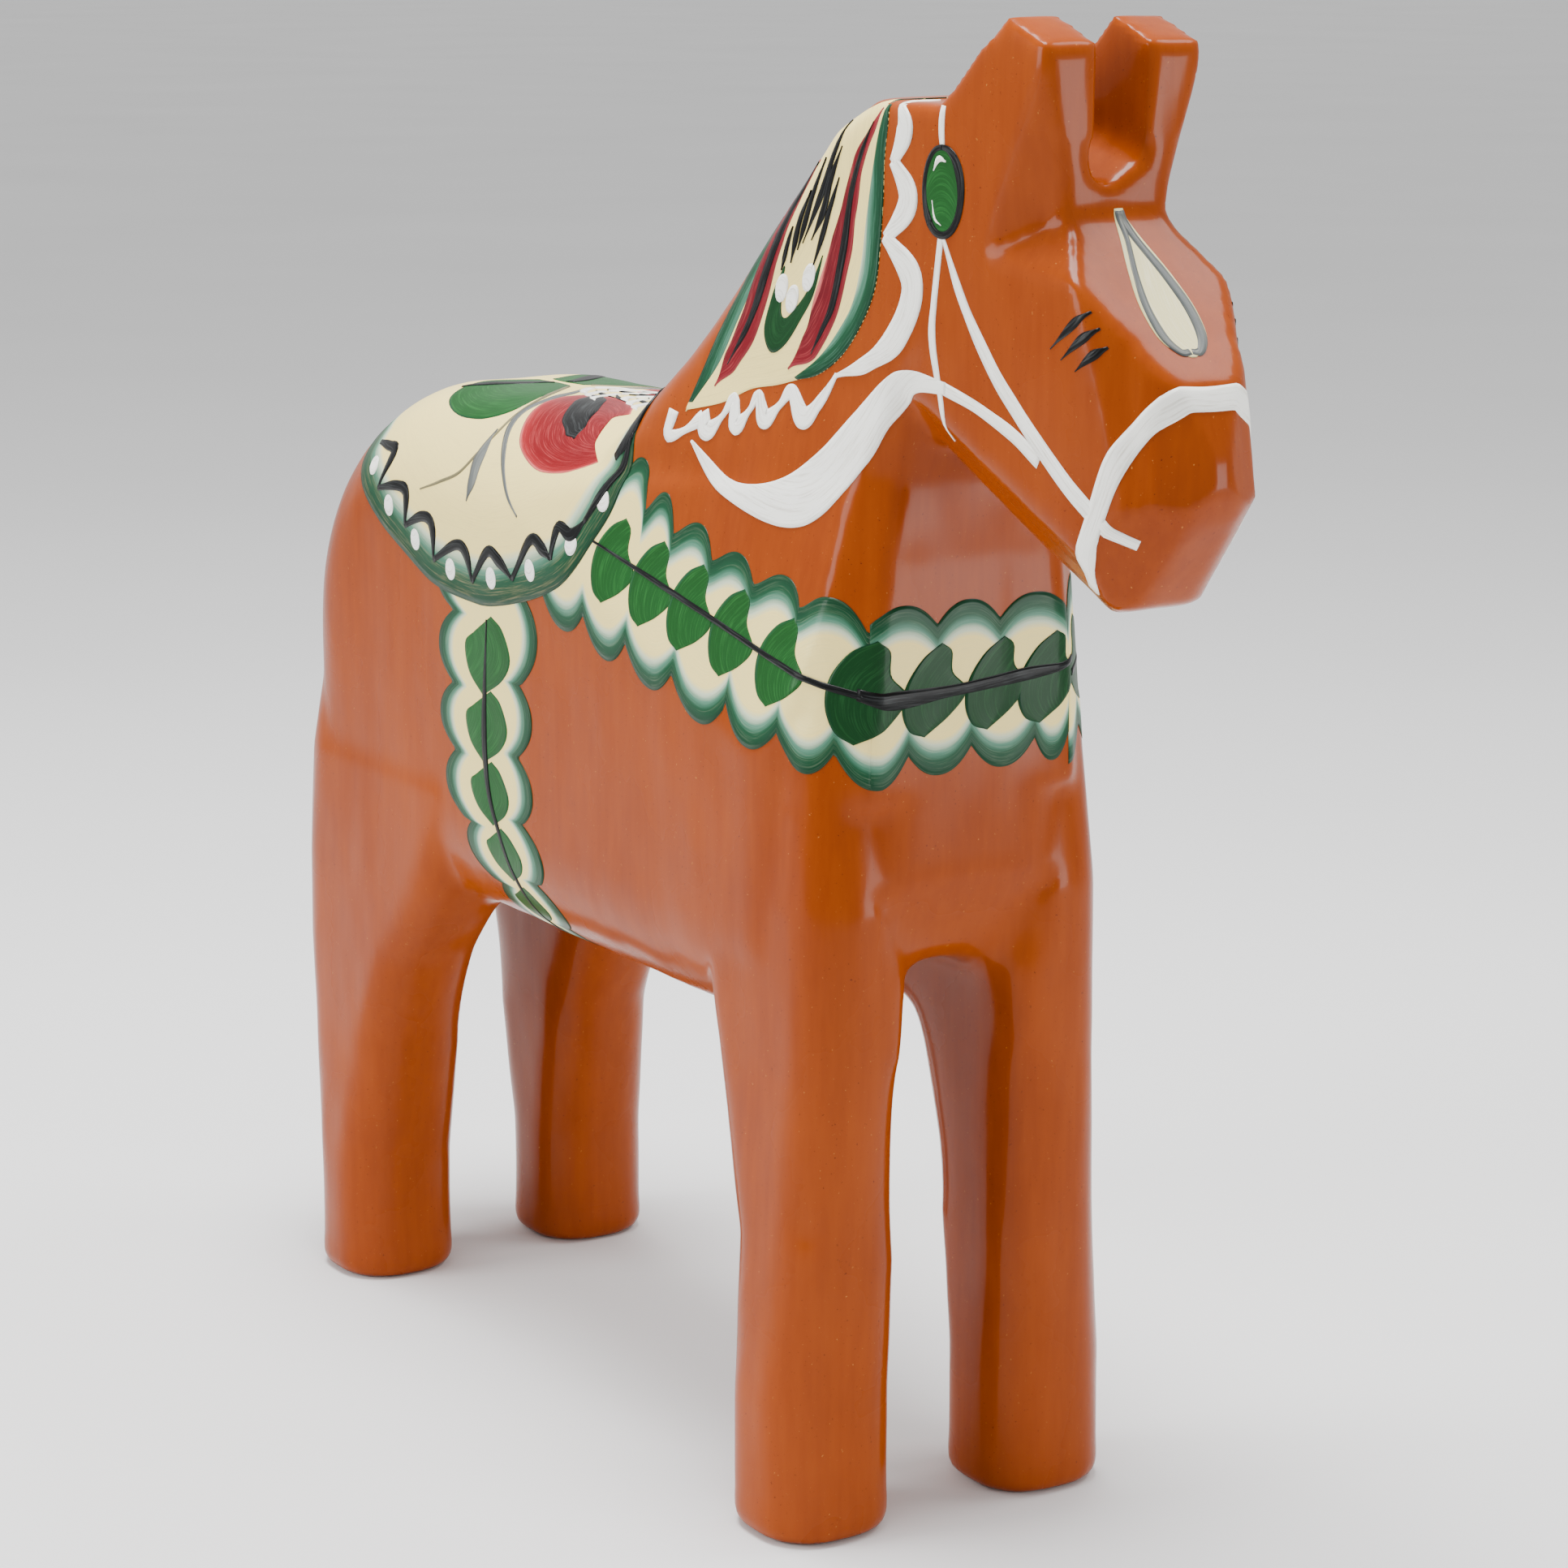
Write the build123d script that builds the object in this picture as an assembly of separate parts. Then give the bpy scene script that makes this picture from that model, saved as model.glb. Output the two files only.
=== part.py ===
from build123d import *
import os

# Carved wooden horse, 300 mm to the ear tips: three pine boards glued side by side, then shaped by knife.
# +X is the way the horse faces, +Y its left side, +Z up. The origin lies on the floor, below the middle
# of the bounding box. Millimetres throughout.

os.makedirs("parts", exist_ok=True)

# ---------------------------------------------------------------- driving dimensions
SEAM = 11.0  # the glue planes lie at y = +SEAM and y = -SEAM
LEG_GAP_HALF = 11.4  # half the gap between left and right legs, a little wider than the centre board
FLANK = 36.5  # half the width of the barrel
FRONT_FOOT_X = 60.0
HIND_FOOT_X = -130.0
FOOT_SIZE = 29.2
FOOT_CORNER = 12.0
FOOT_Y = LEG_GAP_HALF + FOOT_SIZE / 2
RUMP_X = -157.0
CHEST_X = 77.0
BACK_Z = 214.0
BELLY_Z = 96.0
FRONT_CROTCH_Z = 114.0
HIND_CROTCH_Z = 108.0
CHEST_RIDGE_Z = 135.0
POLL_Z = 283.5
HEAD_HALF = 19.2
EAR_TOP_Z = 300.0
EAR_SLOT_HALF = 5.6
EAR_SLOT_Z = 270.0
FILM = 0.3  # thickness of the paint where it is modelled
STRAP_WIDTH = 3.2  # the painted bridle lines
BIG = 400.0

# Outlines of the painted fields, in the side view (x, z) of the left side.
SADDLE = [
    (-120, 205), (-118, 193), (-105, 184), (-93, 178.5), (-78, 173), (-60, 171), (-48, 172), (-30, 176.5),
    (-17, 182), (-9.5, 190.5), (-4, 199.5), (-2, 208), (-12, 216), (-14, 222), (-114, 222),
]
BREAST_BAND = [
    (-20, 172), (-2, 168), (16, 165), (35, 161), (55, 160), (70, 156), (95, 154.5), (95, 188.5), (72, 190),
    (57, 192), (41, 194), (26, 198), (12, 202.5), (4, 207.5), (-3, 200), (-9, 190),
]
GIRTH_BAND = [
    (-74, 168), (-74, 141), (-69, 123), (-60, 110), (-54, 101), (-44, 101), (-38, 112), (-39, 136),
    (-35, 148), (-30, 172), (-50, 178),
]
MANE = [
    (8, 218), (16, 219.5), (37, 226), (55, 230.5), (64, 235), (69, 243), (73, 251), (74, 263), (74.5, 275),
    (73, 284), (58, 284), (40, 268), (20, 246),
]
GARLAND = [
    (19, 213), (25, 208), (37, 203.5), (54, 201.5), (65, 205), (74.5, 215.5), (79.5, 224), (84, 229),
    (83, 233), (77, 231.5), (69, 224), (61, 217), (52, 211), (43, 208.5), (32, 208.5),
]
SCALLOP_LINE = [(80, 281), (77.5, 272), (82.5, 265), (77, 258), (85, 250), (80, 240), (72, 234.5)]
CHEEK_STRAP = [(95, 258), (100.5, 249), (109, 238), (116.5, 230.5), (129, 220.5), (138, 214)]
THROAT_STRAP = [(87, 233), (94, 232.5), (105, 229.5), (117, 224.5), (127, 219)]
CROWN_STRAP = [(94.5, 282), (94.5, 270)]
JAW_STRAP = [(94.5, 262), (92, 240), (93.5, 229.5)]
CHEEK_STRAP_END = [(134, 216.8), (145, 208.5)]
NOSEBAND = [(136, 203), (138.5, 218.5), (145, 227), (150, 234.5), (156, 236.5)]
ROSETTE_CENTRE = (94.5, 268)
ROSETTE_HALF = (6.0, 8.2)
BLAZE = [(0, 264.5), (2.5, 258), (5, 249), (3.5, 242.5), (-3.5, 242.5), (-5, 249), (-2.5, 258)]  # (y, z)


# ---------------------------------------------------------------- helpers
def outline_face(plane, points, radii):
    """Closed face in a plane from corner points, each corner with its own radius."""
    return plane * make_face(FilletPolyline(*points, radius=radii, close=True))


def rectangle_points(x0, x1, y0, y1):
    return [(x0, y0), (x1, y0), (x1, y1), (x0, y1)]


def half_space(a, b, c, towards):
    """A large block on one side of the plane through three points, the side given by a direction."""
    a, b, c = Vector(*a), Vector(*b), Vector(*c)
    normal = (b - a).cross(c - a).normalized()
    if normal.dot(Vector(*towards)) < 0:
        normal = normal * -1
    block = Box(BIG, BIG, BIG, align=(Align.CENTER, Align.CENTER, Align.MIN))
    return Plane(origin=a, z_dir=normal) * block


def cut_facets(solid, facets):
    """Takes off what lies beyond each flat facet, the same on both sides of the horse."""
    for facet in facets:
        beyond = half_space(*facet)
        solid = solid - beyond - mirror(beyond, Plane.XZ)
    return solid


# ---------------------------------------------------------------- torso and neck
def make_torso():
    corners = [(RUMP_X, BELLY_Z), (RUMP_X, BACK_Z), (CHEST_X, BACK_Z), (CHEST_X, BELLY_Z)]
    profile = outline_face(Plane.XZ, corners, [34, 62, 0.5, 0.5])
    torso = extrude(profile, amount=FLANK, both=True)
    rim = [
        edge
        for edge in torso.edges()
        if abs(abs(edge.center().Y) - FLANK) < 0.01 and edge.center().X < CHEST_X - 1
    ]
    torso = fillet(rim, 26)
    shoulder = ((70, 35.5, 157), (70, 24, 213), (-50, 34.5, 205), (0, 1, 0))
    front_corner = ((CHEST_X, 25, 160), (70, 35, 157), (70, 26.9, 196), (1, 1, 0))
    return cut_facets(torso, [shoulder, front_corner])


def neck_section(z, crest_x, front_x, rear_half, front_half, crest_radius, chamfer):
    """Plan section of the neck: the crest well rounded, the front corners bevelled."""
    points = [
        (crest_x, -rear_half),
        (front_x - chamfer, -front_half),
        (front_x, chamfer - front_half),
        (front_x, front_half - chamfer),
        (front_x - chamfer, front_half),
        (crest_x, rear_half),
    ]
    radii = [crest_radius, 2, 2, 2, 2, crest_radius]
    return outline_face(Plane.XY.offset(z), points, radii)


def make_neck():
    sections = [
        neck_section(150, -45, CHEST_X, 28, 33.5, 12, 9),
        neck_section(196, -40, CHEST_X, 32, 27.5, 14, 7),
        neck_section(213, -20, CHEST_X + 1, 30, 23.5, 18, 6),
        neck_section(229, -3, 82, 25, 20.5, 18, 4),
        neck_section(243, 12, 92, 22, 19.6, 16, 3),
        neck_section(265, 35, 96, 19.8, HEAD_HALF - 0.05, 15, 3),
        neck_section(277, 48, 98, 19.0, HEAD_HALF - 0.05, 14, 3),
        neck_section(POLL_Z, 63, 98, 17.5, HEAD_HALF - 0.05, 12, 3),
    ]
    return loft(sections, ruled=True)


# ---------------------------------------------------------------- head
def make_head():
    corners = [
        (78, POLL_Z),
        (91.5, POLL_Z + 0.3),
        (110.5, EAR_TOP_Z),
        (123.1, 295),
        (121, 265),
        (148.8, 237),
        (153, 225),
        (153.8, 218.5),
        (150.5, 212.5),
        (137, 195.5),
        (128, 193.3),
        (78, 221),
    ]
    head = extrude(outline_face(Plane.XZ, corners, [0.5] * 12), amount=HEAD_HALF, both=True)
    cheek = ((91, 19.2, 250), (132.6, 17.2, 253), (91, 19.2, 220), (0, 1, 0))
    muzzle_side = ((132.6, 17.2, 253), (150, 13.6, 216), (132.6, 16.9, 205), (0, 1, 0))
    eye_hollow = ((132.6, 17.3, 253), (148.8, 7.8, 237), (140.5, 15.6, 224.7), (1, 1, 0))
    nostril = ((148.8, 7.8, 237), (152.8, 5.5, 223.6), (147, 14.2, 217), (1, 1, 0))
    lip = ((153.4, 8, 219), (147.4, 14, 217), (137.5, 6.5, 196), (1, 1, -1))
    jaw = ((80, 18, 229.5), (131, 15.5, 204.8), (128, 5, 193.3), (0, 1, -1))
    head = cut_facets(head, [cheek, muzzle_side, eye_hollow, nostril, lip, jaw])
    return head - make_ear_slot() - make_brow_notches()


def make_ear_slot():
    corners = rectangle_points(-EAR_SLOT_HALF, EAR_SLOT_HALF, EAR_SLOT_Z, EAR_TOP_Z + 20)
    profile = outline_face(Plane.YZ.offset(70), corners, [4.5, 4.5, 0.5, 0.5])
    slot = extrude(profile, amount=80)
    above_poll = half_space((80, 0, POLL_Z - 4), (95, 5, POLL_Z - 4), (130, 0, EAR_SLOT_Z - 1), (0, 0, 1))
    return slot & above_poll


def make_brow_notches():
    """The hollows left and right in front of the ears, above the brow."""
    ear_front = ((123.1, 18, 295), (106.1, 18, 257.5), (121.1, 10, 265), (1, 1, 0))
    brow = ((106.1, 18, 257.5), (122.1, 10.5, 264), (132.6, 17.5, 253.3), (0, 0, 1))
    notch = half_space(*ear_front) & half_space(*brow)
    left_only = Pos(120, 30, 280) * Box(60, 60, 80)
    notch = notch & left_only
    return notch + mirror(notch, Plane.XZ)


# ---------------------------------------------------------------- legs
def leg_section(z, rear_x, front_x, outer_y, inner_radius, front_radius, rear_radius):
    """Plan section of the left leg, from the gap between the legs out to its outer face."""
    points = rectangle_points(rear_x, front_x, LEG_GAP_HALF, outer_y)
    radii = [inner_radius, inner_radius, front_radius, rear_radius]
    return outline_face(Plane.XY.offset(z), points, radii)


def foot_section(z, centre_x, rim=0.0):
    """Section of a foot, drawn in by rim all round towards the worn edge of the sole."""
    half = FOOT_SIZE / 2 - rim
    points = rectangle_points(centre_x - half, centre_x + half, FOOT_Y - half, FOOT_Y + half)
    return outline_face(Plane.XY.offset(z), points, [FOOT_CORNER - rim] * 4)


def foot_sections(centre_x):
    return [
        foot_section(0, centre_x, 2.4),
        foot_section(0.9, centre_x, 0.8),
        foot_section(3, centre_x),
        foot_section(28, centre_x),
    ]


def make_front_leg():
    upper = [
        leg_section(60, 43.5, 75.2, 37.6, 10, 11, 11),
        leg_section(95, 34, 76.2, 35.8, 9, 10, 10),
        leg_section(128, 26, CHEST_X - 0.3, 35.5, 6, 11, 10),
        leg_section(165, 20, CHEST_X - 4, 33, 5, 9, 10),
    ]
    return loft(foot_sections(FRONT_FOOT_X) + upper, ruled=True)


def make_hind_leg():
    upper = [
        leg_section(60, -150, -110, 38.8, 11, 11, 13),
        leg_section(80, -154, -101, 38.5, 9, 10, 15),
        leg_section(100, -156.5, -84, 37.8, 6, 10, 17),
        leg_section(125, -156.8, -70, 37, 5, 10, 19),
        leg_section(160, -152, -70, 32, 3, 10, 16),
    ]
    return loft(foot_sections(HIND_FOOT_X) + upper, ruled=True)


# ---------------------------------------------------------------- the carved blank
def leg_gap(x0, x1, top_z):
    """The arched gap between a left and a right leg."""
    corners = rectangle_points(-LEG_GAP_HALF, LEG_GAP_HALF, -10, top_z)
    profile = outline_face(Plane.YZ.offset(x0), corners, [0.5, 0.5, 4, 4])
    return extrude(profile, amount=x1 - x0)


def underslope(face_x, inset, top_z, top_half, bottom_z, bottom_half):
    """The bevel that runs from the chest or the rump down to the gap between the legs."""
    outside = face_x + (20 if inset < 0 else -20)
    sections = []
    for z, x, half in ((top_z, face_x, top_half), (bottom_z, face_x + inset, bottom_half)):
        points = rectangle_points(min(x, outside), max(x, outside), -half, half)
        sections.append(outline_face(Plane.XY.offset(z), points, [0.5] * 4))
    return loft(sections, ruled=True)


def make_horse():
    body = make_torso() + make_neck()
    for leg in (make_front_leg(), make_hind_leg()):
        body = body + leg + mirror(leg, Plane.XZ)
    body = body - underslope(CHEST_X + 0.1, -9, CHEST_RIDGE_Z, 24, FRONT_CROTCH_Z - 3, 10.5)
    body = body - underslope(RUMP_X - 0.1, 9, 128, 18, HIND_CROTCH_Z - 3, 10.5)
    body = body - leg_gap(5, 110, FRONT_CROTCH_Z) - leg_gap(-190, -70, HIND_CROTCH_Z)
    horse = body + make_head()
    return Pos(-horse.bounding_box().center().X, 0, 0) * horse


def split_boards(horse):
    """Saws the horse along the two glue planes; the outer boards are mirror images."""
    centre = horse & Box(BIG, 2 * SEAM, 2 * BIG)
    left = horse & (Pos(0, SEAM + BIG / 2, 0) * Box(BIG, BIG, 2 * BIG))
    return {"left_board": left, "centre_board": centre, "right_board": mirror(left, Plane.XZ)}


# ---------------------------------------------------------------- painted fields
def side_region(face, inner_y=-0.5):
    """Everything over a face in the side view, to the left of y = inner_y."""
    return Pos(0, 60, 0) * extrude(Plane.XZ * face, amount=60 - inner_y)


def area(points, corner_radius):
    return make_face(FilletPolyline(*points, radius=corner_radius, close=True))


def strap(points):
    path = Polyline(*points) if len(points) == 2 else FilletPolyline(*points, radius=4)
    return trace(path, STRAP_WIDTH)


def film(horse, region, direction):
    """The paint over a region: the wood there, moved outwards by the film's thickness, less the wood."""
    moved = Pos(*(Vector(*direction) * FILM)) * (horse & region)
    return moved - horse


def both_sides(left):
    return left + mirror(left, Plane.XZ)


def make_crossing_films(horse):
    """Fields that run over the back, the chest or the nose from one side to the other."""
    saddle_region = side_region(area(SADDLE, 4))
    breast = film(horse, side_region(area(BREAST_BAND, 3)), (1, 1, 0)) - saddle_region
    blaze_region = Pos(90, 0, 0) * extrude(Plane.YZ * area(BLAZE, 1), amount=80)
    noseband_region = side_region(strap(NOSEBAND) + strap(CHEEK_STRAP_END))
    return {
        "saddle_paint": both_sides(film(horse, saddle_region, (0, 1, 1))),
        "breast_band_paint": both_sides(breast),
        "noseband_paint": both_sides(film(horse, noseband_region, (1, 1, 0))),
        "blaze_paint": film(horse, blaze_region, (0.7, 0, 0.7)),
    }


def make_side_films(horse, noseband):
    """Fields that lie on one side only; the right ones are mirror images."""
    outward = (0, 1, 0)
    saddle_region = side_region(area(SADDLE, 4))
    rosette_region = side_region(Pos(*ROSETTE_CENTRE) * Ellipse(*ROSETTE_HALF), inner_y=5)
    straps = strap(CHEEK_STRAP) + strap(THROAT_STRAP) + strap(JAW_STRAP)
    left = {
        "girth_band": film(horse, side_region(area(GIRTH_BAND, 3), 5), outward) - saddle_region,
        "mane": film(horse, side_region(area(MANE, 2), 10), outward),
        "mane_scallop": film(horse, side_region(strap(SCALLOP_LINE), 10), outward),
        "garland": film(horse, side_region(area(GARLAND, 1), 5), outward),
        "crown_strap": film(horse, side_region(strap(CROWN_STRAP), 5), outward) - rosette_region,
        "bridle": film(horse, side_region(straps, 5), outward) - rosette_region - noseband,
        "rosette": film(horse, rosette_region, outward),
    }
    films = {}
    for name, paint in left.items():
        films[f"{name}_paint_left"] = paint
        films[f"{name}_paint_right"] = mirror(paint, Plane.XZ)
    return films


horse = make_horse()
crossing = make_crossing_films(horse)
side = make_side_films(horse, crossing["noseband_paint"])
for name, piece in (split_boards(horse) | crossing | side).items():
    print(name, [round(solid.volume, 1) for solid in piece.solids()])
    export_step(piece, f"parts/{name}.step")
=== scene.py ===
"""Looks of the carved and painted horse: the boards become one carved, smoothed and painted body, and
every brush stroke is a thin relief of its own that follows the wood. Lengths in the tables are in mm."""

import math

import bmesh
import bpy
from mathutils import Matrix, Vector, noise
from mathutils.bvhtree import BVHTree


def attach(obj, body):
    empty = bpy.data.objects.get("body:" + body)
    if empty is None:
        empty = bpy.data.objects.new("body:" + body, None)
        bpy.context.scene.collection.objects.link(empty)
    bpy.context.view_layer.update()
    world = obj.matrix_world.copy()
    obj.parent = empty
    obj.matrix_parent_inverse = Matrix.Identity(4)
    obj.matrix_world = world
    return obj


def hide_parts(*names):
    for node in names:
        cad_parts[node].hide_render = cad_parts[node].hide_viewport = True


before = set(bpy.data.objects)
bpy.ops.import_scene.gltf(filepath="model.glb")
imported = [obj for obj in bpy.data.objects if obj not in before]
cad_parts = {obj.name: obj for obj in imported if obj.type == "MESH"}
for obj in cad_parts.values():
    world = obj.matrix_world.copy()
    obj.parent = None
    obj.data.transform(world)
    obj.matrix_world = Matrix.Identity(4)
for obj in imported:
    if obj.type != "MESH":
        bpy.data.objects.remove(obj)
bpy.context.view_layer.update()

MM = 0.001
TO_MM = 1000.0
RIGHT, LEFT = -1, 1
BOARDS = ("left_board", "centre_board", "right_board")
SEAM_Y = 11.0 * MM  # where the boards meet
SEAM_TOLERANCE = 0.02 * MM
SEAM_OVERLAP = 1.0 * MM  # how far the middle board is let into its neighbours, so that they fuse


# -------- the carved body
def joined_boards():
    """One mesh of the three boards, with the middle one reaching a little into its neighbours."""
    bm = bmesh.new()
    for name in BOARDS:
        start = len(bm.verts)
        bm.from_mesh(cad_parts[name].data)
        bm.verts.ensure_lookup_table()
        if name == "centre_board":
            for vert in bm.verts[start:]:
                if abs(abs(vert.co.y) - SEAM_Y) < SEAM_TOLERANCE:
                    vert.co.y += math.copysign(SEAM_OVERLAP, vert.co.y)
    mesh = bpy.data.meshes.new("carved_body")
    bm.to_mesh(mesh)
    bm.free()
    return mesh


VOXEL, QUICK_VOXEL = 1.42 * MM, 2.0 * MM
SANDING_PASSES = 7


def fused_boards():
    """The boards as one closed skin with softened edges."""
    raw = bpy.data.objects.new("carved_body_raw", joined_boards())
    bpy.context.collection.objects.link(raw)
    remesh = raw.modifiers.new("fuse", "REMESH")
    remesh.mode = "VOXEL"
    remesh.voxel_size = VOXEL
    remesh.use_smooth_shade = True
    smooth = raw.modifiers.new("sand", "SMOOTH")
    smooth.factor = 0.5
    smooth.iterations = SANDING_PASSES
    depsgraph = bpy.context.evaluated_depsgraph_get()
    mesh = bpy.data.meshes.new_from_object(raw.evaluated_get(depsgraph))
    bpy.data.objects.remove(raw)
    mesh.name = "carved_body"
    return mesh


LEG_GAP_Y, LEG_GAP_LOW, LEG_GAP_HIGH = 24, 56, 128  # the space between the legs, up to the belly
FADE_Y, FADE_LOW, FADE_HIGH = 6, 14, 12  # the rounding dies out over these at the space's limits
ROUNDING_PASSES, QUICK_ROUNDING_PASSES = 110, 20


def sand_between_legs(body):
    """Rounds the steps where the insides of the legs run into the chest and the belly."""
    mesh = body.data
    group = body.vertex_groups.new(name="between_legs")
    for vert in mesh.vertices:
        p = vert.co * TO_MM
        if abs(p.y) < LEG_GAP_Y and LEG_GAP_LOW < p.z < LEG_GAP_HIGH:
            inner = min(1.0, (LEG_GAP_Y - abs(p.y)) / FADE_Y)
            level = min(1.0, (p.z - LEG_GAP_LOW) / FADE_LOW, (LEG_GAP_HIGH - p.z) / FADE_HIGH)
            group.add([vert.index], inner * level, "REPLACE")
    smooth = body.modifiers.new("round", "SMOOTH")
    smooth.vertex_group = group.name
    smooth.factor = 0.7
    smooth.iterations = ROUNDING_PASSES
    depsgraph = bpy.context.evaluated_depsgraph_get()
    places = [vert.co.copy() for vert in body.evaluated_get(depsgraph).data.vertices]
    body.modifiers.clear()
    body.vertex_groups.clear()
    mesh.vertices.foreach_set("co", [c for place in places for c in place])


MUZZLE_REAR_X, MUZZLE_TOP_Z = 120 * MM, 242 * MM
MUZZLE_CUTS = [  # knife cuts on the muzzle: a point of the flat, and the way it faces; both sides
    ((151.6, 8.0, 222.0), (0.86, 0.50, 0.12)),
    ((146.0, 11.0, 210.0), (0.60, 0.66, -0.46)),
    ((149.6, 6.0, 206.6), (0.80, 0.22, -0.56)),
]


def cut_muzzle(mesh):
    """Presses what stands proud of each flat back onto it, on the muzzle only."""
    for (x, y, z), (face_x, face_y, face_z) in MUZZLE_CUTS:
        for side in (RIGHT, LEFT):
            point = Vector((x, side * y, z))
            normal = Vector((face_x, side * face_y, face_z)).normalized()
            for vert in mesh.vertices:
                if vert.co.x < MUZZLE_REAR_X or vert.co.z > MUZZLE_TOP_Z:
                    continue
                proud = (vert.co * TO_MM - point).dot(normal)
                if proud > 0:
                    vert.co -= normal * proud * MM


KNIFE_WAVES = [  # length along x, y and z, a shift of the pattern, and height
    ((17, 14, 34), 0, 0.32),
    ((6.5, 6.5, 13), 40, 0.10),
]
CUT_BACK = 0.25  # the whole skin goes in by this, so that the waves stay inside the boards
DENTS = [  # centre, radius and depth
    ((72.8, -35.0, 65.4), 3.5, 0.7),
    ((74.7, -34.3, 20.6), 4.5, 0.6),
    ((58.0, 11.4, 46.0), 6.0, 0.5),
    ((77.0, 27.0, 92.0), 7.0, 0.5),
    ((-120.0, -38.0, 52.0), 6.0, 0.4),
    ((-118.0, 38.5, 70.0), 7.0, 0.5),
]
DENT_REACH = 2.5  # in radii
SOLE_FLAT, SOLE_FADE = 2.0, 6.0  # the soles stay flat; above them the carving comes in gradually


def carve(mesh):
    """Broad shallow waves from the knife, and a few dents."""
    normals = [vert.normal.copy() for vert in mesh.vertices]
    for vert, normal in zip(mesh.vertices, normals):
        p = vert.co * TO_MM
        rise = -CUT_BACK
        for (x, y, z), shift, height in KNIFE_WAVES:
            rise += noise.noise(Vector((p.x / x, p.y / y, p.z / z + shift))) * height
        for centre, radius, depth in DENTS:
            gap = (p - Vector(centre)).length / radius
            if gap < DENT_REACH:
                rise -= depth * math.exp(-gap * gap)
        fade = min(1.0, max(0.0, (p.z - SOLE_FLAT) / SOLE_FADE))
        vert.co += normal * rise * fade * MM


def make_body():
    body = bpy.data.objects.new("carved_body", fused_boards())
    bpy.context.collection.objects.link(body)
    sand_between_legs(body)
    cut_muzzle(body.data)
    carve(body.data)
    for polygon in body.data.polygons:
        polygon.use_smooth = True
    return body


body = make_body()
SKIN = BVHTree.FromPolygons(
    [v.co for v in body.data.vertices], [tuple(p.vertices) for p in body.data.polygons]
)


def cast(start, direction, reach):
    """First point of the body met from start, and the surface's normal there, all in millimetres. A ray
    that misses takes the point of the body nearest to where it is after reach."""
    start, direction = Vector(start), Vector(direction)
    hit, normal, _, _ = SKIN.ray_cast(start * MM, direction)
    if hit is None:
        hit, normal, _, _ = SKIN.find_nearest((start + direction * reach) * MM)
    return hit * TO_MM, normal


# -------- charts: 2-D drawing areas on the body
# Each chart turns a 2-D point into a point of the skin and its normal, with a ray from outside.
FLANK_START_Y, FLANK_REACH = 70, 60


def flank_chart(side):
    """(x, z) in the side view."""
    return lambda x, z: cast((x, side * FLANK_START_Y, z), (0, -side, 0), FLANK_REACH)


TOP_Z, TOP_FLAT, ROUND, SIDE_Y = 214.0, 10.5, 26.0, 36.5
ROUND_LENGTH = ROUND * math.pi / 2
SIDE_LENGTH = 66.0
BARREL_OUT = 25


def barrel_section(w):
    """y and z of the barrel's outline at w down it, and how far it has turned from facing up."""
    if w < TOP_FLAT:
        return w, TOP_Z, 0.0
    w -= TOP_FLAT
    if w < ROUND_LENGTH:
        angle = w / ROUND
        return TOP_FLAT + ROUND * math.sin(angle), TOP_Z - ROUND + ROUND * math.cos(angle), angle
    w -= ROUND_LENGTH
    if w < SIDE_LENGTH:
        return SIDE_Y, TOP_Z - ROUND - w, math.pi / 2
    angle = math.pi / 2 + (w - SIDE_LENGTH) / ROUND
    y = SIDE_Y - ROUND + ROUND * math.sin(angle)
    z = TOP_Z - ROUND - SIDE_LENGTH + ROUND * math.cos(angle)
    return y, z, min(angle, math.pi)


def barrel_chart(side):
    """(x, w): w is the distance down from the ridge of the back, over the flank and under the belly."""

    def chart(x, w):
        sign = side if w >= 0 else -side
        y, z, angle = barrel_section(abs(w))
        out = Vector((0, sign * math.sin(angle), math.cos(angle)))
        start = Vector((x, sign * y, z)) + out * BARREL_OUT
        return cast(start, -out, BARREL_OUT)

    return chart


BAND_START_X, BAND_BEND_X, BAND_SIDE_Y, BEND_R = -20.0, 62.0, 34.0, 17.0
BEND_LENGTH = BEND_R * math.pi / 2
BAND_SIDE = BAND_BEND_X - BAND_START_X
BAND_MIDDLE = BAND_SIDE + BEND_LENGTH + BAND_SIDE_Y - BEND_R
BAND_TOP_Z, BAND_SLOPE, BAND_SLOPE_END = 191.8, 0.19, 105.0
BAND_OUT = 30


def band_height(s):
    """The band falls along the side and runs level across the chest."""
    return BAND_TOP_Z - BAND_SLOPE * min(s, BAND_SLOPE_END)


def band_chart(side):
    """(s, t): s runs along the breast band, round the chest to the other side; t is up from its middle."""

    def chart(s, t):
        sign = side
        if s > BAND_MIDDLE:
            s, sign = 2 * BAND_MIDDLE - s, -side
        height = band_height(s)
        if s < BAND_SIDE:
            x, y, angle = BAND_START_X + s, BAND_SIDE_Y, 0.0
        elif s < BAND_SIDE + BEND_LENGTH:
            angle = (s - BAND_SIDE) / BEND_R
            x = BAND_BEND_X + BEND_R * math.sin(angle)
            y = BAND_SIDE_Y - BEND_R + BEND_R * math.cos(angle)
        else:
            x, angle = BAND_BEND_X + BEND_R, math.pi / 2
            y = BAND_SIDE_Y - BEND_R - (s - BAND_SIDE - BEND_LENGTH)
        out = Vector((math.sin(angle), sign * math.cos(angle), 0))
        return cast(Vector((x, sign * y, height + t)) + out * BAND_OUT, -out, BAND_OUT)

    return chart


NOSE_CENTRE = Vector((143.0, 0, 221.0))
NOSE_AXIS = Vector((0.89, 0, -0.456)).normalized()
NOSE_UP = Vector((0.456, 0, 0.89)).normalized()
NOSE_ROUND = 17.0
NOSE_OUT, NOSE_REACH = 40, 24


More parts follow.
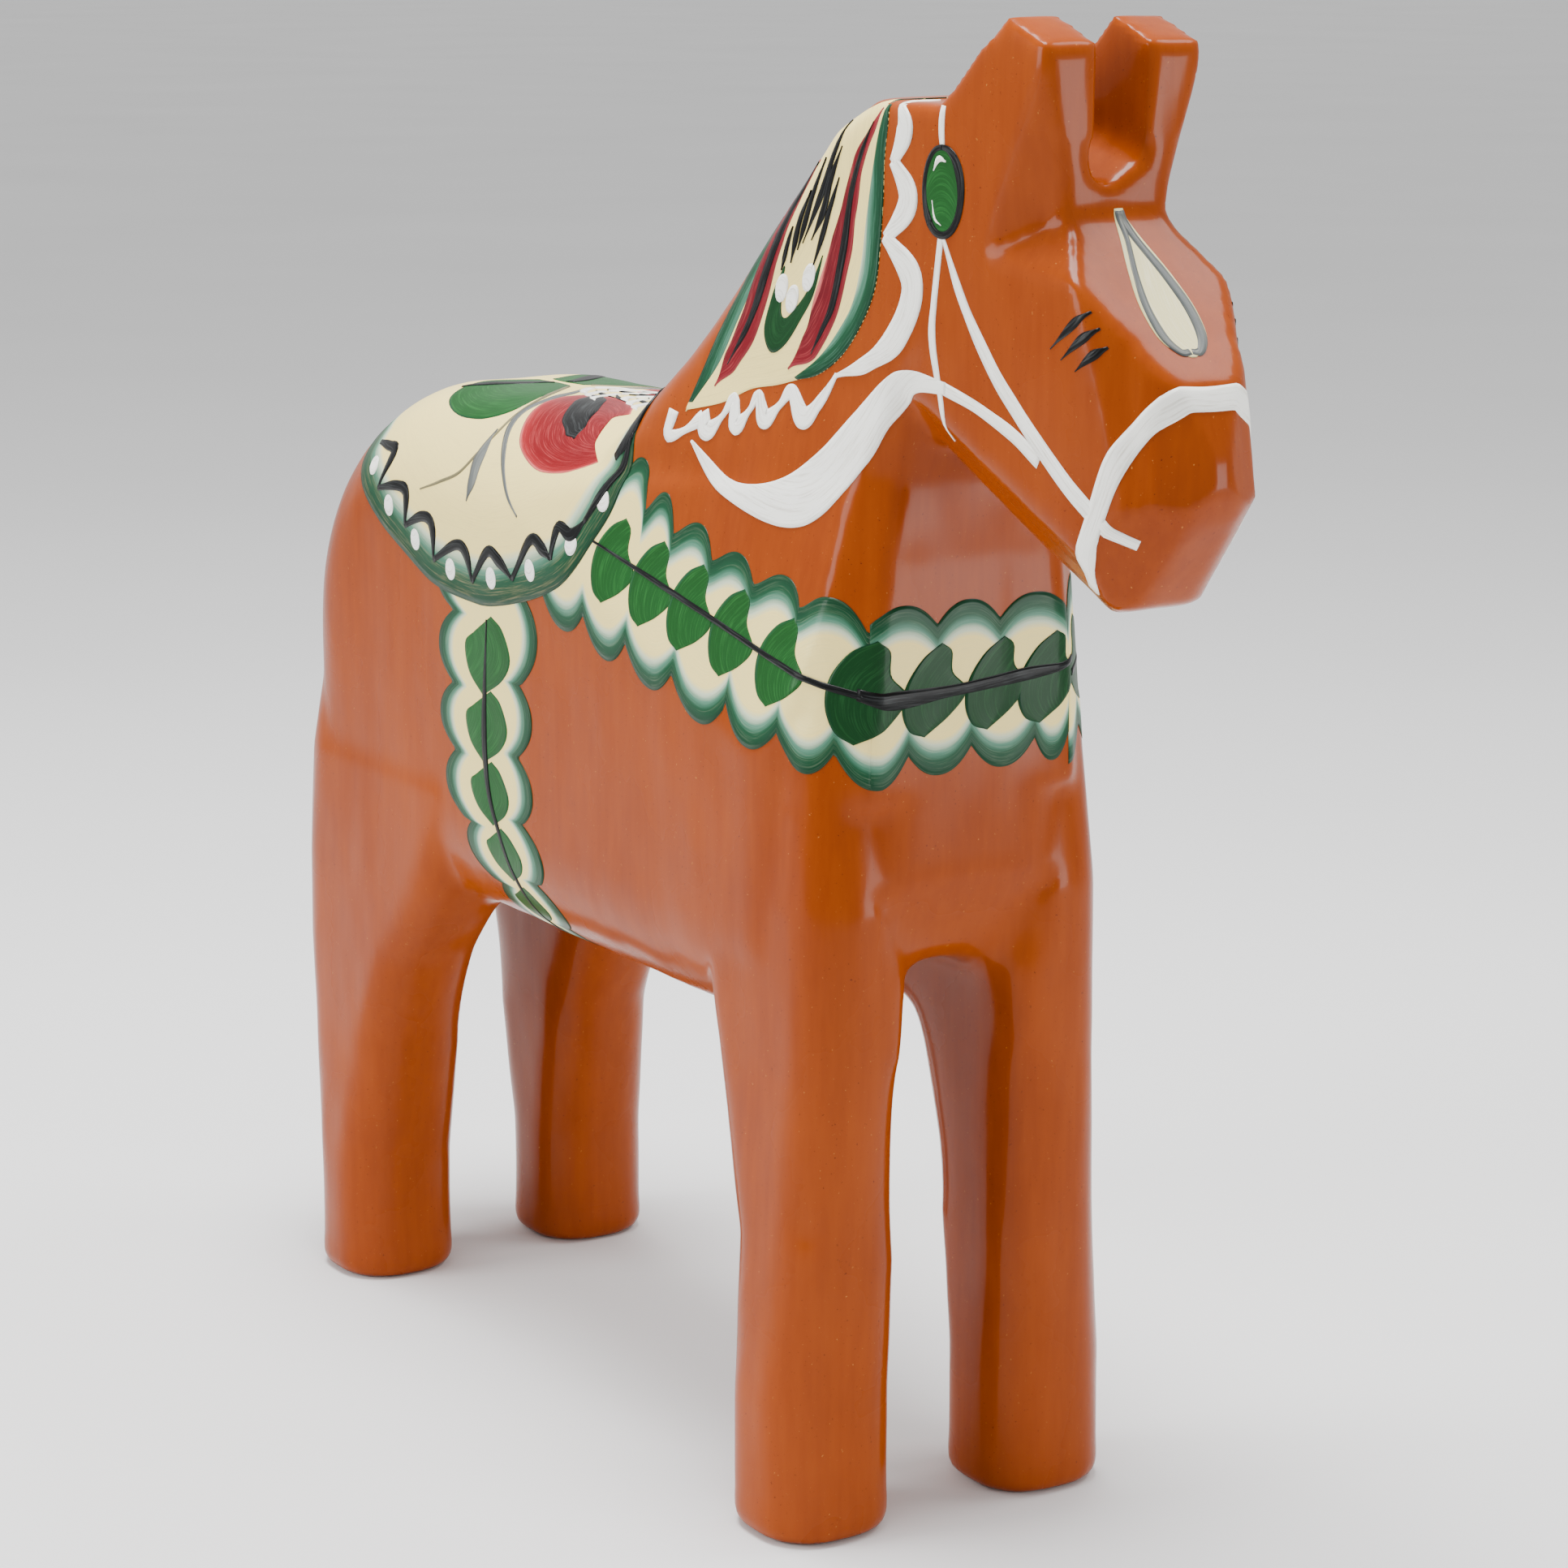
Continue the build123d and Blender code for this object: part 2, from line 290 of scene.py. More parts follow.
def nose_chart(arc, forward):
    """(arc, forward): arc runs round the muzzle from its top, forward is along the head."""
    angle = arc / NOSE_ROUND
    out = NOSE_UP * math.cos(angle) + Vector((0, -1, 0)) * math.sin(angle)
    return cast(NOSE_CENTRE + NOSE_AXIS * forward + out * NOSE_OUT, -out, NOSE_REACH)


BROW_X, BROW_Z, BROW_OUT = 121.5, 264.5, 20
FOREHEAD_DOWN = Vector((1, 0, -1)).normalized()
FOREHEAD_FACING = Vector((1, 0, 1)).normalized()


def forehead_chart(y, down):
    """(y, down): down is the distance down the forehead from the brow."""
    place = Vector((BROW_X, y, BROW_Z)) + FOREHEAD_DOWN * down
    return cast(place + FOREHEAD_FACING * BROW_OUT, -FOREHEAD_FACING, BROW_OUT)


# -------- curves and strokes
CURVE_STEPS = 12


def dense_curve(pts):
    """Points on a Catmull-Rom curve, CURVE_STEPS of them between each pair of the given points."""
    if len(pts) == 2:
        return [pts[0].lerp(pts[1], k / CURVE_STEPS) for k in range(CURVE_STEPS + 1)]
    ends = [2 * pts[0] - pts[1], *pts, 2 * pts[-1] - pts[-2]]
    dense = []
    for i in range(1, len(ends) - 2):
        a, b, c, d = ends[i - 1 : i + 3]
        for k in range(CURVE_STEPS):
            t = k / CURVE_STEPS
            dense.append(
                0.5 * (2 * b + (c - a) * t + (2 * a - 5 * b + 4 * c - d) * t**2)
                + 0.5 * (3 * b - a - 3 * c + d) * t**3
            )
    return [*dense, pts[-1]]


def smooth_curve(points, count):
    """Evenly spaced points on a smooth curve through the given 2-D points."""
    dense = dense_curve([Vector(p) for p in points])
    length = [0.0]
    for a, b in zip(dense, dense[1:]):
        length.append(length[-1] + (b - a).length)
    out, k = [], 0
    for i in range(count):
        target = length[-1] * i / (count - 1)
        while k < len(length) - 2 and length[k + 1] < target:
            k += 1
        span = length[k + 1] - length[k] or 1.0
        out.append(dense[k].lerp(dense[k + 1], (target - length[k]) / span))
    return out


def run_length(points):
    return sum((Vector(b) - Vector(a)).length for a, b in zip(points, points[1:]))


def stations(points, count):
    """Where count values sit along a curve, in 0..1: at its points when there is one for each."""
    if count != len(points):
        return [k / (count - 1) for k in range(count)]
    whole = run_length(points)
    return [run_length(points[: k + 1]) / whole for k in range(count)]


def profile(places, values, t):
    """Value at t in 0..1 of a smooth run through the values at their places."""
    k = max(i for i in range(len(places) - 1) if places[i] <= t)
    f = min(1.0, (t - places[k]) / (places[k + 1] - places[k]))
    f = f * f * (3 - 2 * f)
    return values[k] * (1 - f) + values[k + 1] * f


class Paint:
    """Collects strokes of one kind into one mesh. Each stroke is closed and sits on the wood."""

    GROUND, LAYER = 0.06, 0.055  # height of level 0 over the wood, and of each level over the last
    SWELL, SINK = 0.05, 0.35  # how much a stroke's middle stands over its rim, and how deep it reaches
    THINNEST = 0.06  # least half breadth of a stroke
    DISC_STEPS = 12
    SEED_STEP = 0.37  # sets each stroke's bristle marks apart from the others'
    WELD = 0.002 * MM

    def __init__(self, name, material, level=1):
        self.name, self.material, self.level = name, material, level
        self.verts, self.faces = [], []
        self.across, self.along, self.seed = [], [], []
        self.count = 0

    def patch(self, chart, edge_a, edge_b, across_step=1.0, along_step=1.3, depth=None, lift=0.0):
        """A stroke between two 2-D edges. depth(point) overrides the distance in from edge_a. lift keeps
        strokes of one kind apart where they cross."""
        n = max(6, int(run_length(edge_a) / along_step))
        a, b = smooth_curve(edge_a, n), smooth_curve(edge_b, n)
        gap = max((p - q).length for p, q in zip(a, b))
        m = max(4, int(gap / across_step) + 1)
        grid = [[a[i].lerp(b[i], j / (m - 1)) for j in range(m)] for i in range(n)]
        if depth is None:
            inward = [[(point - row[0]).length for point in row] for row in grid]
        else:
            inward = [[depth(point) for point in row] for row in grid]
        self.sheet(chart, grid, inward, lift)

    def sheet(self, chart, grid, inward, lift=0.0):
        """A closed layer over a grid of 2-D points; inward is each point's distance in from the edge."""
        n, m = len(grid), len(grid[0])
        self.count += 1
        base, low = len(self.verts), []
        height = self.GROUND + self.LAYER * self.level + lift
        run = 0.0
        for i, row in enumerate(grid):
            if i:
                run += (row[0] - grid[i - 1][0]).length
            for j, point in enumerate(row):
                place, normal = chart(point.x, point.y)
                side = j / (m - 1)
                swell = self.SWELL * min(1.0, 4.0 * min(side, 1 - side))
                self.verts.append((place + normal * (height + swell)) * MM)
                low.append((place - normal * self.SINK) * MM)
                self.across.append(inward[i][j])
                self.along.append(run)
                self.seed.append(self.count * self.SEED_STEP)
        self.verts += low
        self.across += self.across[base:]
        self.along += self.along[base:]
        self.seed += self.seed[base:]
        self.close(base, n, m)

    def close(self, base, n, m):
        """Faces over the top and the underside of an n by m grid, and round its rim."""
        under = n * m

        def top(i, j):
            return base + i * m + j

        for i in range(n - 1):
            for j in range(m - 1):
                quad = (top(i, j), top(i, j + 1), top(i + 1, j + 1), top(i + 1, j))
                self.faces.append(quad)
                self.faces.append(tuple(v + under for v in reversed(quad)))
        rim = [top(0, j) for j in range(m)] + [top(i, m - 1) for i in range(1, n)]
        rim += [top(n - 1, j) for j in range(m - 2, -1, -1)] + [top(i, 0) for i in range(n - 2, 0, -1)]
        for p, q in zip(rim, rim[1:] + rim[:1]):
            self.faces.append((q, p, p + under, q + under))

    def ribbon(self, chart, spine, breadths, step=1.0, lift=0.0):
        """A stroke along a 2-D spine with a breadth that changes along it."""
        n = max(8, int(run_length(spine) / step))
        line = smooth_curve(spine, n)
        places = stations(spine, len(breadths))
        left, right = [], []
        for i, point in enumerate(line):
            tangent = (line[min(i + 1, n - 1)] - line[max(i - 1, 0)]).normalized()
            normal = Vector((-tangent.y, tangent.x))
            half = max(self.THINNEST, profile(places, breadths, i / (n - 1)) / 2)
            left.append(point + normal * half)
            right.append(point - normal * half)
        self.patch(chart, left, right, across_step=0.9, along_step=step, lift=lift)

    def disc(self, chart, centre, half, tilt=0.0):
        """A round dab with half-sizes and a tilt in degrees."""
        turn = Matrix.Rotation(math.radians(tilt), 2)
        upper, lower = [], []
        for k in range(self.DISC_STEPS + 1):
            angle = math.pi * k / self.DISC_STEPS
            x, y = half[0] * math.cos(angle), half[1] * math.sin(angle)
            upper.append(Vector(centre) + turn @ Vector((x, y)))
            lower.append(Vector(centre) + turn @ Vector((x, -y)))
        self.patch(chart, upper, lower, across_step=0.7, along_step=0.7)

    def build(self, slot, replaced=()):
        """Makes the piece, which rides the horse and stands for the CAD nodes in replaced."""
        mesh = bpy.data.meshes.new(self.name)
        mesh.from_pydata(self.verts, [], self.faces)
        for key in ("across", "along", "seed"):
            mesh.attributes.new(key, "FLOAT", "POINT").data.foreach_set("value", getattr(self, key))
        bm = bmesh.new()
        bm.from_mesh(mesh)
        bmesh.ops.remove_doubles(bm, verts=bm.verts, dist=self.WELD)
        bmesh.ops.recalc_face_normals(bm, faces=bm.faces)
        bm.to_mesh(mesh)
        bm.free()
        for polygon in mesh.polygons:
            polygon.use_smooth = True
        mesh.materials.append(self.material)
        piece = bpy.data.objects.new(self.name, mesh)
        bpy.context.collection.objects.link(piece)
        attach(piece, "root")
        if replaced:
            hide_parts(*replaced)


def on_both_sides(make_chart):
    return [make_chart(side) for side in (RIGHT, LEFT)]


# -------- materials
class Material:
    """A new material's node tree. Its values are numbers, colours or the outputs of other nodes."""

    def __init__(self, name):
        self.material = bpy.data.materials.new(name)
        self.material.use_nodes = True
        self.tree = self.material.node_tree

    def node(self, kind):
        return self.tree.nodes.new("ShaderNode" + kind)

    def feed(self, node, values):
        """Sets or links the node's inputs, given by name or by index."""
        for key, value in values.items():
            if isinstance(value, (int, float)):
                node.inputs[key].default_value = value
            elif isinstance(value, tuple):
                node.inputs[key].default_value = (*value, 1)
            else:
                self.tree.links.new(value, node.inputs[key])

    def shade(self, values):
        self.feed(self.tree.nodes["Principled BSDF"], values)
        return self.material

    def attribute(self, name):
        node = self.node("Attribute")
        node.attribute_name = name
        return node.outputs["Fac"]

    def where(self):
        return self.node("TexCoord").outputs["Object"]

    def math(self, operation, a, b):
        node = self.node("Math")
        node.operation = operation
        self.feed(node, {0: a, 1: b})
        return node.outputs[0]

    def noise(self, vector, scale, detail=2.0, roughness=0.5):
        node = self.node("TexNoise")
        self.feed(node, {"Vector": vector, "Scale": scale, "Detail": detail, "Roughness": roughness})
        return node.outputs["Fac"]

    def ramp(self, factor, stops):
        node = self.node("ValToRGB")
        elements = node.color_ramp.elements
        while len(elements) > 1:
            elements.remove(elements[-1])
        elements[0].position = stops[0][0]
        elements[0].color = (*stops[0][1], 1)
        for position, colour in stops[1:]:
            elements.new(position).color = (*colour, 1)
        self.feed(node, {"Fac": factor})
        return node.outputs["Color"]

    def mix(self, factor, a, b):
        node = self.node("Mix")
        node.data_type = "RGBA"
        self.feed(node, {0: factor, 6: a, 7: b})
        return node.outputs[2]

    def bump(self, height, strength, distance, under=None):
        node = self.node("Bump")
        self.feed(node, {"Height": height, "Strength": strength, "Distance": distance})
        if under is not None:
            self.feed(node, {"Normal": under})
        return node.outputs["Normal"]


BRISTLES_PER_MM, BRISTLE_DRIFT = 2.6, 0.10  # how fast the marks change across and along a stroke


def bristle_marks(look, inward):
    """Streaks that run along each stroke. inward is the distance in from the stroke's edge."""
    vector = look.node("CombineXYZ")
    x = look.math("MULTIPLY", inward, BRISTLES_PER_MM)
    y = look.math("MULTIPLY", look.attribute("along"), BRISTLE_DRIFT)
    look.feed(vector, {"X": x, "Y": y, "Z": look.attribute("seed")})
    return look.noise(vector.outputs[0], 1.0, 3.0, 0.65)


def brush_paint(name, stops, reach, tint, bristle, wobble=0.12):
    """Paint laid with a flat brush. The colours of stops run across the stroke over reach mm, and wobble
    is how unevenly. tint is the colour that shows in the bristle marks, and bristle is how strongly."""
    look = Material(name)
    inward = look.attribute("across")
    marks = bristle_marks(look, inward)
    shift = look.math("MULTIPLY", look.math("SUBTRACT", marks, 0.5), 2 * wobble)
    colour = look.ramp(look.math("ADD", look.math("DIVIDE", inward, reach), shift), stops)
    amount = look.node("MapRange")
    look.feed(amount, {"Value": marks, "From Min": 0.5, "From Max": 0.75, "To Max": bristle})
    return look.shade({
        "Base Color": look.mix(amount.outputs[0], colour, tint),
        "Normal": look.bump(marks, 0.35, 0.12 * MM),
        "Roughness": 0.34,
        "Specular IOR Level": 0.07,
        "Coat Weight": 0.10,
        "Coat Roughness": 0.15,
    })


BASE_SHADES = [
    (0.30, (0.215, 0.032, 0.0005)), (0.52, (0.25, 0.040, 0.0007)), (0.75, (0.285, 0.048, 0.0010)),
]
GRAIN_SHADES = [(0.35, (0.18, 0.024, 0.0006)), (0.7, (0.44, 0.09, 0.004))]
GRAIN_STRETCH = (1.0, 1.0, 0.12)  # the grain runs up and down
GRAIN_SHARE = 0.10
DARK_SPECK, LIGHT_SPECK = (0.07, 0.008, 0.001), (0.50, 0.18, 0.03)
NONE, FULL = (0, 0, 0), (1, 1, 1)


def base_colour(look, mottle, grain):
    """Mottled orange with faint grain, and small dark and light specks."""
    colour = look.mix(GRAIN_SHARE, look.ramp(mottle, BASE_SHADES), look.ramp(grain, GRAIN_SHADES))
    specks = look.noise(look.where(), 1500.0, 2.0, 0.7)
    colour = look.mix(look.ramp(specks, [(0.25, FULL), (0.31, NONE)]), colour, DARK_SPECK)
    return look.mix(look.ramp(specks, [(0.715, NONE), (0.76, FULL)]), colour, LIGHT_SPECK)


def base_relief(look, grain):
    """Shallow hollows, the grain, and the fine orange-peel of the varnish."""
    normal = look.bump(look.noise(look.where(), 95.0), 0.16, 0.6 * MM)
    normal = look.bump(grain, 0.10, 0.10 * MM, normal)
    return look.bump(look.noise(look.where(), 620.0), 0.12, 0.10 * MM, normal)


def base_coat():
    """Burnt-orange paint on carved pine, under varnish."""
    look = Material("orange_base_coat")
    mottle = look.noise(look.where(), 22.0, 4.0, 0.55)
    stretch = look.node("Mapping")
    stretch.inputs["Scale"].default_value = GRAIN_STRETCH
    look.feed(stretch, {"Vector": look.where()})
    grain = look.noise(stretch.outputs[0], 420.0, 3.0, 0.6)
    return look.shade({
        "Base Color": base_colour(look, mottle, grain),
        "Normal": base_relief(look, grain),
        "Roughness": look.ramp(mottle, [(0.3, (0.22, 0.22, 0.22)), (0.7, (0.32, 0.32, 0.32))]),
        "Specular IOR Level": 0.06,
        "Coat Weight": 0.15,
        "Coat Roughness": 0.12,
    })


CREAM = (0.86, 0.70, 0.26)
WHITE = (0.90, 0.90, 0.84)
PALE = (0.50, 0.58, 0.42)
TEAL = (0.075, 0.21, 0.14)
GREEN = (0.008, 0.060, 0.026)
DARK_GREEN = (0.003, 0.030, 0.012)
LEAF = (0.005, 0.060, 0.009)
LEAF_INSIDE = (0.006, 0.072, 0.012)
LEAF_LIGHT = (0.022, 0.15, 0.030)
DARK_LEAF, DARK_LEAF_INSIDE = (0.003, 0.035, 0.008), (0.003, 0.032, 0.008)
RED = (0.17, 0.001, 0.004)
PINK = (0.60, 0.13, 0.12)
BLACK = (0.003, 0.0033, 0.0036)
GREY = (0.07, 0.078, 0.08)
LIGHT_GREY = (0.16, 0.17, 0.16)
STEM = (0.14, 0.125, 0.065)


def green_to_cream(green, teal, pale, cream):
    """Colours from a dark green edge in to cream, each at its share of the way."""
    return [(0.0, DARK_GREEN), (green, GREEN), (teal, TEAL), (pale, PALE), (cream, CREAM)]


lobe_paint = brush_paint(
    "scallop_paint", green_to_cream(0.32, 0.5, 0.66, 0.8), 9, (0.42, 0.48, 0.32), 0.12, wobble=0.05
)
ground_paint = brush_paint(
    "saddle_ground_paint", green_to_cream(0.36, 0.52, 0.68, 0.8), 14, (0.55, 0.40, 0.20), 0.22, wobble=0.05
)
edge_paint = brush_paint(
    "mane_edge_paint", green_to_cream(0.35, 0.6, 0.8, 1.0), 7.5, (0.2, 0.4, 0.3), 0.2
)
cream_paint = brush_paint("cream_paint", [(0.0, CREAM)], 10, (0.50, 0.38, 0.17), 0.35)
white_paint = brush_paint("white_paint", [(0.0, WHITE)], 10, (0.50, 0.46, 0.38), 0.8)
black_paint = brush_paint("black_paint", [(0.0, BLACK)], 8, GREY, 0.55)
stem_paint = brush_paint("stem_paint", [(0.0, STEM)], 3, (0.34, 0.30, 0.18), 0.5)
grey_paint = brush_paint("grey_paint", [(0.0, GREY), (1.0, LIGHT_GREY)], 4, (0.34, 0.34, 0.28), 0.5)
blaze_paint = brush_paint(
    "blaze_paint", [(0.0, (0.66, 0.60, 0.30)), (1.0, (0.70, 0.64, 0.33))], 10, WHITE, 0.3
)
leaf_paint = brush_paint(
    "leaf_paint", [(0.0, GREEN), (0.05, LEAF), (1.0, LEAF_INSIDE)], 14, LEAF_LIGHT, 0.75
)
dark_leaf_paint = brush_paint(
    "dark_leaf_paint",
    [(0.0, DARK_GREEN), (0.06, DARK_LEAF), (1.0, DARK_LEAF_INSIDE)],
    14, (0.02, 0.11, 0.03), 0.5,
)
red_paint = brush_paint(
    "red_paint",
    [(0.0, PINK), (0.08, (0.26, 0.010, 0.014)), (0.3, RED), (1.0, (0.15, 0.001, 0.004))],
    16, (0.50, 0.07, 0.07), 0.7,
)
mane_red_paint = brush_paint(
    "mane_red_paint",
    [(0.0, (0.26, 0.03, 0.04)), (0.09, (0.15, 0.005, 0.011)), (0.9, (0.10, 0.003, 0.008)), (1.0, PINK)],
    8, (0.45, 0.07, 0.07), 0.5,
)


# -------- saddle: (x, w) on the barrel
SADDLE_REAR, SADDLE_FRONT = -122, -18
SADDLE_EDGE = [
    (SADDLE_REAR, 0), (-122, 20), (-121, 36), (-118, 46), (-105, 55.5), (-93, 61), (-78, 66.5), (-60, 68.2),
    (-48, 67.4), (-30, 63), (-17, 57.3), (-9.5, 48.7), (-4, 39.4), (-2, 28.8), (-6, 17), (-14, 8),
    (SADDLE_FRONT, 0),
]
THIN_RIM_W, THIN_RIM = 34.0, 2.5  # the green rim gets thinner from here up to the ridge, and how much


def paint_saddle_ground():
    ground = Paint("saddle_ground", ground_paint, 3)
    samples = smooth_curve(SADDLE_EDGE, 160)
    ridge = [(SADDLE_REAR + (SADDLE_FRONT - SADDLE_REAR) * k / 8, 0) for k in range(9)]

    def rim_depth(point):
        gap = min((point - q).length for q in samples)
        return gap * (1.0 + THIN_RIM * max(0.0, (THIN_RIM_W - point.y) / THIN_RIM_W))

    for chart in on_both_sides(barrel_chart):
        ground.patch(chart, SADDLE_EDGE, ridge, 1.5, 1.4, depth=rim_depth)
    ground.build("cream_paint", ("saddle_paint",))


CUSPS = [(-112, 38), (-105, 48.8), (-91, 55.5), (-77, 61.3), (-59, 63.6), (-41, 60.6), (-24, 54), (-13, 44)]
BULGES = [(-102.5, 38), (-92, 46.5), (-79, 51.8), (-63, 56), (-48, 55.5), (-29, 50.5), (-19, 46.2)]
FRONT_SCALLOP = [(-13.4, 44.4), (-9.6, 38.6), (-5, 31.5), (-3.4, 26)]


def paint_saddle_scallops():
    """Black arcs that hang between the cusps along the edge."""
    outline = Paint("saddle_scallops", black_paint, 6)
    for chart in on_both_sides(barrel_chart):
        for i, ((x, w), start, end) in enumerate(zip(BULGES, CUSPS, CUSPS[1:])):
            spine = [start, (x - 3.5, w + 0.6), (x + 1.5, w + 1.8), end]
            outline.ribbon(chart, spine, [1.3, 2.4, 3.0, 0.8], lift=0.02 * (i % 2))
        outline.ribbon(chart, FRONT_SCALLOP, [1.2, 2.0, 2.0, 1.0], lift=0.02)
    outline.build("mane_paint")


SADDLE_DOTS = [(-110, 44), (-99, 52), (-86, 58), (-69, 62.3), (-50, 61.6), (-33, 57.6), (-17, 50), (-8, 39)]
FLOWER_OUTER = [
    (-29, 14), (-40, 7), (-51, 4.6), (-60, 5.5), (-62.5, 10), (-61, 16), (-58, 22.4), (-52, 30), (-45, 34),
    (-36, 36.4), (-27, 35.7), (-21, 33.7), (-16, 31.3),
]
FLOWER_INNER = [(-29, 15), (-30, 17.5), (-28, 20.5), (-25.5, 24), (-23, 27), (-19, 29.6), (-16, 31.3)]
LEAF_OUTER = [(-92, 2), (-97, 13), (-95, 23), (-84, 27.6), (-72, 27), (-65, 22), (-68, 13), (-77, 2)]
LEAF_INNER = [(-91, 1.6), (-88, 1.4), (-84, 1.2), (-80, 1.4), (-77.5, 1.6)]


def paint_saddle_flowers():
    """White dots along the edge, the red flower, and the green leaf behind it."""
    dots = Paint("saddle_dots", white_paint, 5)
    flower = Paint("saddle_flower", red_paint, 5)
    leaf = Paint("saddle_leaf", leaf_paint, 5)
    for chart in on_both_sides(barrel_chart):
        for dot in SADDLE_DOTS:
            dots.disc(chart, dot, (2.1, 2.4), tilt=-20)
        flower.patch(chart, FLOWER_OUTER, FLOWER_INNER, 0.9, 0.9)
        leaf.patch(chart, LEAF_OUTER, LEAF_INNER, 0.9, 0.9)
    dots.build("white_paint")
    flower.build("mane_paint")
    leaf.build("green_paint")


SADDLE_DARK_STROKES = [  # each stroke's spine and breadths, as in the tables below
    ([(-58, 5.5), (-50, 12), (-42, 19), (-35, 24.5), (-32, 27)], [2.5, 7, 8, 5, 0.4]),
    ([(-98, 18), (-92, 13.5), (-87, 8), (-84, 2)], [0.8, 3.5, 4.5, 2.5]),
    ([(-24, 6), (-13, 12), (-6, 19), (-4.5, 25), (-8.5, 30)], [0.5, 2.5, 4, 4.2, 1.6]),
]
SADDLE_STEM = (
    [(-76, 3), (-65, 16), (-62, 26), (-63, 33), (-68, 40.4), (-76, 44), (-84, 46.5)],
    [1.4, 1.4, 1, 1, 0.8, 0.4],
)
SADDLE_GREY_STROKES = [
    (
        [(-69, 3), (-62.5, 15), (-61, 23.7), (-58, 29.6), (-52, 36.3), (-45, 43), (-39, 47)],
        [1.4, 2.6, 2.0, 1.5, 0.9, 0.4],
    ),
    ([(-63, 29), (-62.5, 37), (-61.5, 42), (-62, 46.5)], [0.4, 4.2, 3.4, 0.3]),
]


def paint_saddle_strokes():
    """Stems and dark strokes round the flower, and the short strokes that fan out along the ridge."""
    dark = Paint("saddle_dark_strokes", black_paint, 7)
    stems = Paint("saddle_stems", stem_paint, 5)
    grey = Paint("saddle_grey_strokes", grey_paint, 6)
    burst = Paint("saddle_burst", white_paint, 8)
    for chart in on_both_sides(barrel_chart):
        for spine, breadths in SADDLE_DARK_STROKES:
            dark.ribbon(chart, spine, breadths)
        stems.ribbon(chart, *SADDLE_STEM)
        for spine, breadths in SADDLE_GREY_STROKES:
            grey.ribbon(chart, spine, breadths)
        for k in range(7):
            x, spread = -70 + 6 * k, k % 3
            spine = [(x, 0.6), (x + 3, 4 + 2 * spread), (x + 8, 6 + 2.4 * spread)]
            burst.ribbon(chart, spine, [2.2, 1.8, 0.3])
        for k in range(5):
            x, spread = -66 + 9 * k, k % 2
            spine = [(x, 1.4), (x + 6, 3.2 + spread), (x + 14, 4.6 + 2 * spread)]
            dark.ribbon(chart, spine, [0.4, 1.3, 0.3])
    burst.build("white_paint")
    for paint in (dark, stems, grey):
        paint.build("mane_paint")


# -------- breast and girth bands
ARCH_POWER = 2.2  # how square an arch of a scalloped edge is


def scalloped(cusps, reaches, share=0.70, lean=0.5):
    """Height of a scalloped edge along s: an arch between each pair of cusps. share is how high the
    cusps are for the arches' reach, and lean is where an arch has its top."""
    power = math.log(0.5) / math.log(lean)

    def height(s):
        s = min(max(s, cusps[0]), cusps[-1] - 1e-6)
        k = max(i for i in range(len(cusps) - 1) if cusps[i] <= s)
        v = ((s - cusps[k]) / (cusps[k + 1] - cusps[k])) ** power
        return reaches[k] * (share + (1 - share) * (1 - abs(2 * v - 1) ** ARCH_POWER))

    return height


BAND_STEP, BAND_ROWS = 0.6, 34


def paint_band(paint, chart, start, end, upper, lower):
    """A band between two scalloped edges, with its colours set by the distance in from them."""
    grid, inward = [], []
    count = int((end - start) / BAND_STEP)
    for i in range(count + 1):
        s = start + (end - start) * i / count
        top, bottom = upper(s), -lower(s)
        row = [Vector((s, top + (bottom - top) * j / BAND_ROWS)) for j in range(BAND_ROWS + 1)]
        grid.append(row)
        inward.append([min(top - point.y, point.y - bottom) for point in row])
    paint.sheet(chart, grid, inward)


SIDE_START, CHEST_START, CHEST_END = -9, 102.5, 149.0
SIDE_CUSPS = [-9, 14, 27, 37.5, 52, 67.5, 83.5, 102]
SIDE_REACH = [20, 21.4, 18, 15.8, 14.8, 15.4, 16.4]
CHEST_CUSPS = [102, 117.5, 132, 149]
CHEST_REACH = [16.8, 16.8, 16.8]
LOWER_CUSPS = [-9, 9.5, 27, 45.5, 64.5, 82, 95.5, 110.5, 125.5, 140.5, 149]
LOWER_REACH = [20.6, 20.6, 20.2, 20.4, 18.8, 18.6, 18.8, 17, 17, 17]


def paint_breast_band():
    band = Paint("breast_band", lobe_paint, 1)
    side_upper = scalloped(SIDE_CUSPS, SIDE_REACH, lean=0.62)
    chest_upper = scalloped(CHEST_CUSPS, CHEST_REACH, share=0.74)
    lower = scalloped(LOWER_CUSPS, LOWER_REACH)
    for chart in on_both_sides(band_chart):
        paint_band(band, chart, SIDE_START, CHEST_START, side_upper, lower)
    paint_band(band, band_chart(RIGHT), CHEST_START, CHEST_END, chest_upper, lower)
    band.build("band_paint", ("breast_band_paint",))


LEAF_REAR = [(2.6, 9), (-2.2, 6), (-6, 1), (-6.8, -4), (-5, -8), (-1.5, -9.4)]
LEAF_FRONT = [(2.6, 9), (4.9, 7.2), (5.1, 3), (8.4, -0.8), (4.6, -5.4), (-1.5, -9.4)]
SIDE_LEAVES = [18.5, 33, 47.5, 62.5, 79.5]
CORNER_LEAVES = {RIGHT: (101, 1.14), LEFT: (94, 1.0)}  # place along the band, and size
CHEST_LEAVES = [116, 130.5, 143]


def paint_leaf(paint, chart, middle, size=1.0):
    rear, front = ([(middle + x * size, y * size) for x, y in edge] for edge in (LEAF_REAR, LEAF_FRONT))
    paint.patch(chart, rear, front, 0.8, 0.8)


